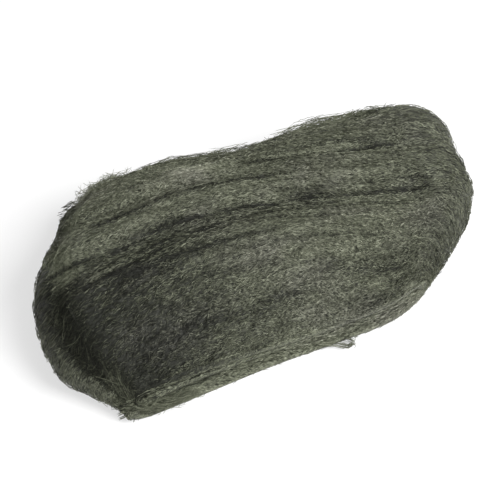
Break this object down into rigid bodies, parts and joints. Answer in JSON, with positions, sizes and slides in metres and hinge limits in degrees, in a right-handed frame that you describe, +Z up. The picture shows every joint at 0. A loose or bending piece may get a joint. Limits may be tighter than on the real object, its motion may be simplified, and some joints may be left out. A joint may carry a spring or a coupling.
{
  "type": "steel wool pad",
  "caption": "Hand-sized oblong pad of steel wool: one combed strip wound flat into a soft domed pile, for rubbing down and scouring.",
  "frame": {"origin": "middle of the underside, at the centre of the pad's outline seen from above", "axes": "+X along the pad towards its smooth end fold, +Y towards its back edge, +Z up"},
  "size_m": [0.1382, 0.0744, 0.0339],
  "materials": {
    "steel_wool": "matt"
  },
  "bodies": {
    "root": {"steel_wool_pad": "steel_wool"}
  },
  "joints": []
}
